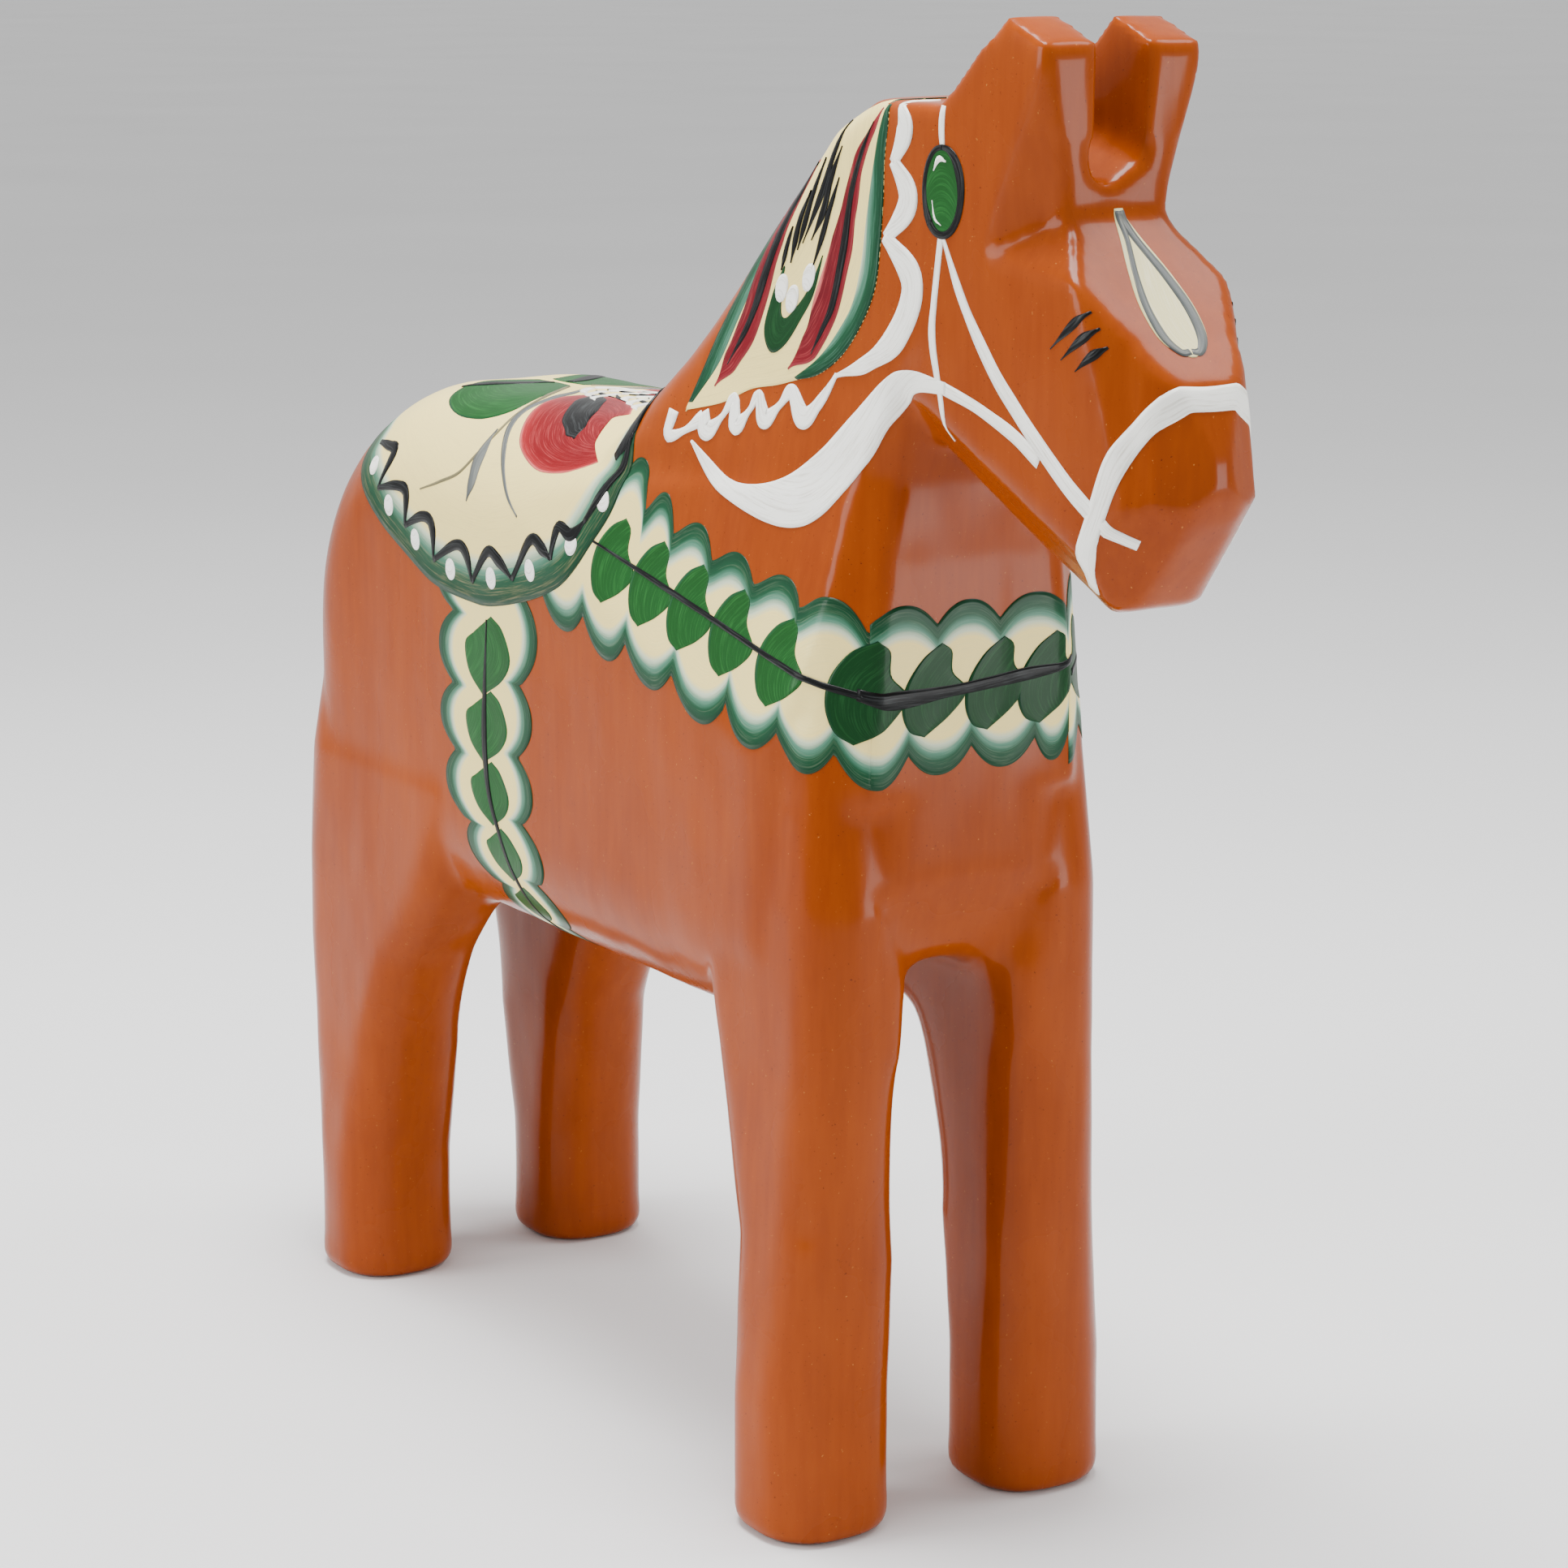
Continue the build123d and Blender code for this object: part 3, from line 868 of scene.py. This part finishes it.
def paint_breast_leaves():
    leaves = Paint("breast_band_leaves", leaf_paint, 3)
    corners = Paint("chest_corner_leaves", dark_leaf_paint, 4)
    for side in (RIGHT, LEFT):
        for middle in SIDE_LEAVES:
            paint_leaf(leaves, band_chart(side), middle)
        paint_leaf(corners, band_chart(side), *CORNER_LEAVES[side])
    for middle in CHEST_LEAVES:
        paint_leaf(corners, band_chart(RIGHT), middle, 0.98)
    for paint in (leaves, corners):
        paint.build("green_paint")


BREAST_LINE = [(11, 1.2), (40, 0.6), (70, -0.2), (101, -1)]
CHEST_LINE = [(100, -0.8), (108, -1.4), (122, -0.6), (138, 0.8), (151, 1.8)]


def paint_breast_line():
    line = Paint("breast_band_line", black_paint, 6)
    for chart in on_both_sides(band_chart):
        line.ribbon(chart, BREAST_LINE, [0.5, 1.2, 1.1, 1.4])
    line.ribbon(band_chart(RIGHT), CHEST_LINE, [2.4, 3.6, 2.2, 2.6, 1.2])
    line.build("mane_paint")


GIRTH_LINE = [(-52.5, 72), (-53.8, 96), (-52.5, 110), (-47, 122), (-43.5, 134), (-42, 150), (-41.5, 160)]
GIRTH_START, GIRTH_END = -8, 88
FORE_CUSPS = [-9, 11, 27, 41.5, 56, 69, 80, 90]
REAR_CUSPS = [-13, -1, 15, 30, 46, 60, 73, 90]
FORE_REACH = [22, 20.5, 20, 18, 15, 11.5, 9]
REAR_REACH = [23, 22.5, 21.5, 20.5, 17.5, 13, 10]


def girth_chart(side):
    """(r, t): r is down along the band's middle line, t is across it."""
    barrel = barrel_chart(side)
    line = smooth_curve(GIRTH_LINE, 60)
    length = run_length(line)

    def chart(r, t):
        place = min(max(r / length, 0.0), 1.0) * (len(line) - 1)
        k = min(int(place), len(line) - 2)
        point = line[k].lerp(line[k + 1], place - k)
        return barrel(point.x + t, point.y + min(r, 0.0) + max(r - length, 0.0))

    return chart


def girth_leaf(row):
    """Fore and rear edge of a leaf. The leaves get smaller and closer down the band."""
    size = 1.0 - 0.09 * row
    middle = 6.5 + 16.2 * row - 0.45 * row * row
    top, end = (middle - 8.5 * size, 2), (middle + 9.5 * size, -1.5)
    fore = [(middle - 6 * size, 7 * size), (middle, 10.5 * size), (middle + 5 * size, 7 * size)]
    rear = [(middle - 4 * size, -6 * size), (middle - 1, -10 * size), (middle + 5 * size, -8 * size)]
    return [top, *fore, end], [top, *rear, end]


def paint_girth_band():
    band = Paint("girth_band", lobe_paint, 1)
    leaves = Paint("girth_band_leaves", leaf_paint, 3)
    line = Paint("girth_band_line", black_paint, 5)
    fore, rear = scalloped(FORE_CUSPS, FORE_REACH), scalloped(REAR_CUSPS, REAR_REACH)
    for chart in on_both_sides(girth_chart):
        paint_band(band, chart, GIRTH_START, GIRTH_END, fore, rear)
        for row in range(6):
            leaves.patch(chart, *girth_leaf(row), 0.8, 0.8)
        spine = [(-1, 0), (25, -0.8), (50, 0.6), (74, 0), (87, 0)]
        line.ribbon(chart, spine, [0.6, 2.2, 1.5, 1.3, 0.6])
    band.build("band_paint", ("girth_band_paint_left", "girth_band_paint_right"))
    leaves.build("green_paint")
    line.build("mane_paint")


# -------- mane: (x, z) in the side view
MANE_FRONT = [
    (75.6, 283.5), (76.2, 279), (75.4, 272), (75.2, 264.5), (74.8, 256), (73.6, 248.4), (69.7, 241.5),
    (64, 235.2), (56.6, 230.8), (50, 229.2),
]
MANE_FRONT_INNER = [
    (75, 283.2), (73.2, 277), (71.2, 268.3), (69.9, 260.7), (68.8, 253), (66.4, 245.3), (62.2, 239.6),
    (56.2, 233.9), (49, 229.6),
]
MANE_FOOT = [(43, 227.5), (35, 226), (26, 222.5), (15, 220)]
MANE_REAR = [
    (71.5, 282.7), (59, 278.2), (48, 269), (38.8, 259.6), (30.6, 250.6), (24.6, 242), (19.4, 232.5),
    (15, 221.5),
]
MANE_REAR_INNER = [(40.4, 259), (34.6, 249.6), (29, 240.6), (23.6, 231), (16.4, 221.6)]


def paint_mane_ground():
    """The cream field and the green edges before and behind it."""
    ground = Paint("mane_ground", cream_paint, 1)
    edges = Paint("mane_edges", edge_paint, 2)
    for chart in on_both_sides(flank_chart):
        ground.patch(chart, [*MANE_FRONT, *MANE_FOOT], [*MANE_REAR, (14.6, 219.6)], 1.2, 1.2)
        edges.patch(chart, MANE_FRONT, MANE_FRONT_INNER, 0.7, 1.0)
        edges.patch(chart, MANE_REAR[3:], MANE_REAR_INNER, 0.7, 1.0)
    ground.build("mane_paint", ("mane_paint_left", "mane_paint_right"))
    edges.build("mane_paint")


MANE_RED_STROKES = [  # spine and breadths
    (
        [(73.8, 281.9), (71, 277.5), (66.9, 271.5), (64.2, 262.9), (62, 255), (57.8, 244.6), (53.7, 236.5),
         (46.7, 231)],
        [0.3, 1.8, 3.4, 5.0, 7.2, 8.4, 6, 0.4],
    ),
    (
        [(50.8, 271), (46.8, 266.4), (42.7, 260.7), (38.8, 254), (35, 245.4), (31.5, 237.3), (27.2, 231.1),
         (22.6, 225.4)],
        [0.3, 2.2, 3.8, 5.2, 6.4, 6.6, 5, 0.4],
    ),
]
MANE_BLACK_LINES = [
    (
        [(71.5, 279.3), (67.8, 273), (64.7, 265.4), (63, 255.2), (60, 244.8), (57, 239.4), (54, 234.5)],
        [0.2, 1.2, 1.7, 2.3, 2.0, 1.2, 0.2],
    ),
    (
        [(50.6, 270.6), (45.2, 264), (39.8, 255), (36, 247), (31.8, 238), (26, 230)],
        [0.2, 2.0, 2.2, 2.4, 1.6, 0.2],
    ),
]
FAN_STROKES = [  # spine from the upper tip down, and the widest breadth
    ([(62, 279), (58.4, 272.8), (54.5, 264.7), (48.8, 255.2)], 1.7),
    ([(61.2, 274.3), (57.8, 268), (55.4, 261.5), (51.8, 256)], 1.8),
    ([(60.6, 268.4), (58, 263), (55.8, 257.6), (52.4, 250.4)], 1.5),
    ([(55.2, 271.8), (51.8, 265), (49.3, 259), (47.2, 253.8)], 1.4),
    ([(50.8, 265.4), (47.8, 260), (46.5, 256), (45.2, 251.2)], 1.5),
    ([(45.3, 258.2), (43.9, 254.8), (42.2, 249.6)], 1.1),
]


def paint_mane_strokes():
    """Two red strokes with black lines in them, and a fan of black blades between."""
    red = Paint("mane_red_strokes", mane_red_paint, 3)
    dark = Paint("mane_black_strokes", black_paint, 5)
    for chart in on_both_sides(flank_chart):
        for spine, breadths in MANE_RED_STROKES:
            red.ribbon(chart, spine, breadths)
        for spine, breadths in MANE_BLACK_LINES:
            dark.ribbon(chart, spine, breadths)
        for k, (spine, breadth) in enumerate(FAN_STROKES):
            dark.ribbon(chart, spine, [0.2, 0.8 * breadth, breadth, 0.15], step=0.7, lift=0.02 * k)
    for paint in (red, dark):
        paint.build("mane_paint")


DROP_OUTER = [
    (43, 250.5), (39.4, 244.5), (37.5, 237.7), (40.4, 233.6), (45.1, 235.6), (50, 241.2), (53.4, 246),
    (56, 253.4),
]
DROP_INNER = [
    (43.3, 250.3), (42.6, 246), (42.8, 241.4), (44.5, 240.6), (46.9, 242.2), (50.6, 245.6), (53.4, 249.4),
    (55.8, 253.4),
]
MANE_DOTS = [((42.6, 246.2), -18), ((46.3, 244.4), -22), ((51.6, 248.9), -24)]  # centre and tilt


def paint_mane_drop():
    """The green drop in the middle, and three white dots over it."""
    green = Paint("mane_green_drop", dark_leaf_paint, 4)
    dots = Paint("mane_dots", white_paint, 6)
    for chart in on_both_sides(flank_chart):
        green.patch(chart, DROP_OUTER, DROP_INNER, 0.7, 0.7)
        for centre, tilt in MANE_DOTS:
            dots.disc(chart, centre, (1.9, 2.9), tilt=tilt)
    green.build("mane_paint")
    dots.build("white_paint")


MANE_ARCHES = [  # the white arches before the mane, from the crown down
    ([(80, 283), (82.4, 278.5), (78.5, 272)], [1.6, 5.2, 2.6]),
    ([(78.5, 272.6), (83.6, 265.5), (76.8, 258)], [3.0, 6, 2.8]),
    ([(76.4, 258.6), (85.6, 250.5), (81.5, 240.5), (72.5, 234.5), (62, 231)], [3.0, 6.4, 6, 3.4, 0.8]),
]
MANE_TEETH = (
    [(62.5, 231.4), (58, 225.5), (53.8, 222.3), (48.8, 226.8), (45.6, 224), (41.3, 220.8), (38, 225),
     (35.8, 222), (32, 218.6), (30, 223.6), (27, 220), (22.6, 216.6), (20.3, 220)],
    [0.9, 2.6, 4.4, 3.0, 1.5, 4.0, 2.4, 1.3, 3.8, 2.6, 1.3, 4.0, 3.6],
)
MANE_TAIL = ([(20.5, 219), (15.5, 216), (10, 214.5), (10.5, 219.5)], [3.2, 1.4, 2.6, 3.2])


def paint_mane_scallops():
    """The white line round the mane: arches before it, and a wavy row under its foot."""
    white = Paint("mane_white_scallops", white_paint, 3)
    for chart in on_both_sides(flank_chart):
        for spine, breadths in MANE_ARCHES:
            white.ribbon(chart, spine, breadths)
        white.ribbon(chart, *MANE_TEETH, step=0.7, lift=0.02)
        white.ribbon(chart, *MANE_TAIL)
    white.build("white_paint", ("mane_scallop_paint_left", "mane_scallop_paint_right"))


# -------- garland and bridle: (x, z)
GARLAND_LOWER = [
    (18, 214), (25.5, 207.7), (37.5, 203.7), (53.7, 201.4), (64.7, 205), (74.6, 215.4), (79.5, 224),
    (85.5, 229.8), (96, 230.8),
]
GARLAND_UPPER = [
    (18.4, 214.4), (31.9, 208.6), (42.7, 208.4), (51.9, 211.2), (60.8, 217), (69, 224.3), (77.3, 231.5),
    (84, 234.2), (96, 233),
]


def paint_garland():
    garland = Paint("neck_garland", white_paint, 2)
    for chart in on_both_sides(flank_chart):
        garland.patch(chart, GARLAND_LOWER, GARLAND_UPPER, 0.9, 1.0)
    garland.build("white_paint", ("garland_paint_left", "garland_paint_right"))


REIN = ([(95.5, 231.8), (105.4, 229.4), (116.5, 225.4), (124, 221.5)], [2.4, 2.2, 2.6, 2.8])
CHEEK_STRAP = (
    [(94.7, 259.6), (100.5, 249), (109, 238), (116.5, 230.6), (129, 220.5), (137.5, 214), (145, 208.6)],
    [0.9, 2.2, 3.0, 3.2, 3.4, 3.2, 2.2],
)
THROAT_STRAP = (
    [(94.2, 260), (92.4, 248), (91.9, 239.7), (94.6, 229), (95.4, 222)],
    [1.6, 1.6, 2.0, 1.4, 0.6],
)
CROWN_STRAP = ([(94.4, 283.2), (94.2, 279), (94.6, 275.6)], [1.6, 1.7, 1.4])


def paint_bridle():
    straps = Paint("bridle_lines", white_paint, 1)
    crown = Paint("crown_lines", white_paint, 1)
    for chart in on_both_sides(flank_chart):
        straps.ribbon(chart, *REIN)
        straps.ribbon(chart, *CHEEK_STRAP, lift=0.03)
        straps.ribbon(chart, *THROAT_STRAP)
        crown.ribbon(chart, *CROWN_STRAP)
    straps.build("white_paint", ("bridle_paint_left", "bridle_paint_right"))
    crown.build("white_paint", ("crown_strap_paint_left", "crown_strap_paint_right"))


NOSE_HALF_RUN, NOSE_BENDS = 46.0, 12  # how far the noseband runs each way, and its points each way
NOSE_BREADTHS = [3.6, 4.2, 4.6, 4.0, 3.6, 3.4, 3.6, 4.0, 4.6, 4.2, 3.6]


def paint_noseband():
    """One white line round the muzzle that wavers a little."""
    nose = Paint("noseband", white_paint, 2)
    turns = range(-NOSE_BENDS, NOSE_BENDS + 1)
    spine = [(k * NOSE_HALF_RUN / NOSE_BENDS, math.cos(k / 2)) for k in turns]
    nose.ribbon(nose_chart, spine, NOSE_BREADTHS, step=0.9)
    nose.build("white_paint", ("noseband_paint",))


ROSETTE_X, ROSETTE_Z, ROSETTE_HALF = 94.6, 267.8, (5.6, 8.0)
GLINTS = [
    ([(92.0, 271.4), (93.6, 273.6), (95.8, 273.2)], [0.2, 1.2, 0.3]),
    ([(91.6, 266), (92.4, 262.8), (94.4, 261.6)], [0.1, 0.5, 0.1]),
]


def rosette_ring():
    angles = [math.radians(d) for d in range(0, 361, 20)]
    half_x, half_z = ROSETTE_HALF
    return [(ROSETTE_X + half_x * math.sin(a), ROSETTE_Z + half_z * math.cos(a)) for a in angles]


def paint_rosettes():
    """A green oval below each ear, with a dark rim laid in two strokes and two glints."""
    oval = Paint("rosettes", leaf_paint, 2)
    rim = Paint("rosette_rims", black_paint, 3)
    glint = Paint("rosette_glints", white_paint, 4)
    ring = rosette_ring()
    for chart in on_both_sides(flank_chart):
        oval.disc(chart, (ROSETTE_X, ROSETTE_Z), ROSETTE_HALF)
        rim.ribbon(chart, ring[:13], [1.0, 2.2, 1.6, 1.4, 2.0], step=0.7)
        rim.ribbon(chart, ring[11:], [2.0, 1.4, 1.2, 1.0], step=0.7, lift=0.01)
        for spine, breadths in GLINTS:
            glint.ribbon(chart, spine, breadths, step=0.6)
    oval.build("green_paint", ("rosette_paint_left", "rosette_paint_right"))
    glint.build("white_paint")
    rim.build("mane_paint")


EYELASHES = [  # front and rear end
    ((136.4, 249.2), (127, 242)),
    ((138.2, 246.4), (130, 240.3)),
    ((139.8, 243.2), (133.8, 238.6)),
]


def paint_eyelashes():
    lashes = Paint("eyelashes", black_paint, 1)
    for chart in on_both_sides(flank_chart):
        for start, end in EYELASHES:
            middle = ((start[0] * 2 + end[0]) / 3, (start[1] * 2 + end[1]) / 3 + 0.2)
            lashes.ribbon(chart, [start, middle, end], [0.5, 1.8, 0.2], step=0.6)
    lashes.build("mane_paint")


BLAZE = [  # distance down the forehead, and half breadth there
    (0.0, 0.9), (6.0, 2.2), (14.0, 4.3), (22.0, 5.7), (28.5, 5.4), (32.0, 3.4), (33.6, 0.5),
]
BLAZE_TIP = (0.2, 32.4)
OUTLINE_INSET = 1.3


def paint_blaze():
    """A pale drop down the forehead with a grey outline, laid in one stroke on each side."""
    drop = Paint("forehead_blaze", blaze_paint, 1)
    lines = Paint("forehead_blaze_outline", grey_paint, 2)
    right, left = [(-w, d) for d, w in BLAZE], [(w, d) for d, w in BLAZE]
    drop.patch(forehead_chart, right, left, 0.8, 0.8)
    inner = [(max(0.2, w - OUTLINE_INSET), d + 0.4) for d, w in BLAZE[:-1]] + [BLAZE_TIP]
    lines.ribbon(forehead_chart, inner, [1.8, 1.8, 2.0, 2.2, 2.2, 1.4], step=0.7)
    mirrored = [(-y, down) for y, down in inner]
    lines.ribbon(forehead_chart, mirrored, [1.4, 1.1, 1.2, 1.6, 1.9, 1.4], step=0.7, lift=0.015)
    drop.build("blaze_paint", ("blaze_paint",))
    lines.build("blaze_paint")


body.data.materials.clear()
body.data.materials.append(base_coat())
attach(body, "root")
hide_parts(*BOARDS)
for paint_piece in (
    paint_saddle_ground, paint_saddle_scallops, paint_saddle_flowers, paint_saddle_strokes,
    paint_breast_band, paint_breast_leaves, paint_breast_line, paint_girth_band,
    paint_mane_ground, paint_mane_strokes, paint_mane_drop, paint_mane_scallops,
    paint_garland, paint_bridle, paint_noseband, paint_rosettes, paint_eyelashes, paint_blaze,
):
    paint_piece()


# -------- studio, in metres
FLOOR_HALF = 30
FLOOR_TONES = [(0.3, (0.78, 0.78, 0.78)), (0.7, (0.81, 0.81, 0.81))]
CAMERA_PLACE, CAMERA_TARGET = (0.7168, -0.4403, 0.3207), (0.0097, 0, 0.1395)
SOFTBOXES = [  # name, place, what it faces, width and height, and power
    ("overhead", (-0.05, -0.08, 1.1), (0, 0, 0.18), (0.45, 0.45), 21.0),
    ("right_fill", (-0.35, -1.1, 0.50), (0, 0, 0.15), (0.5, 0.7), 10.0),
    ("front_left", (0.75, 0.42, 0.16), (0.06, 0, 0.14), (0.22, 0.30), 2.2),
    ("left_rim", (0.2, 0.6, 1.05), (0, 0, 0.18), (0.35, 0.35), 4.0),
]


def aim(obj, target):
    obj.rotation_euler = (Vector(target) - obj.location).to_track_quat("-Z", "Y").to_euler()


def add_softbox(name, place, target, size, power):
    light = bpy.data.lights.new(name, "AREA")
    light.shape = "RECTANGLE"
    light.size, light.size_y = size
    light.energy = power
    obj = bpy.data.objects.new(name, light)
    obj.location = place
    bpy.context.collection.objects.link(obj)
    aim(obj, target)


def add_floor():
    mesh = bpy.data.meshes.new("floor")
    corners = [(x * FLOOR_HALF, y * FLOOR_HALF, 0) for x, y in ((-1, -1), (1, -1), (1, 1), (-1, 1))]
    mesh.from_pydata(corners, [], [(0, 1, 2, 3)])
    paper = Material("floor_paper")
    tone = paper.ramp(paper.noise(paper.where(), 3.0), FLOOR_TONES)
    mesh.materials.append(paper.shade({"Base Color": tone, "Roughness": 0.9}))
    floor = bpy.data.objects.new("floor", mesh)
    bpy.context.collection.objects.link(floor)


def add_camera():
    camera = bpy.data.cameras.new("camera")
    camera.sensor_width = 36
    camera.lens = 93.93
    camera.clip_start = 0.05
    obj = bpy.data.objects.new("camera", camera)
    obj.location = CAMERA_PLACE
    bpy.context.collection.objects.link(obj)
    aim(obj, CAMERA_TARGET)
    bpy.context.scene.camera = obj


def add_world():
    world = bpy.data.worlds.new("studio")
    world.use_nodes = True
    background = world.node_tree.nodes["Background"]
    background.inputs["Color"].default_value = (1, 1, 1, 1)
    background.inputs["Strength"].default_value = 0.85
    bpy.context.scene.world = world


add_floor()
add_camera()
add_world()
for softbox in SOFTBOXES:
    add_softbox(*softbox)
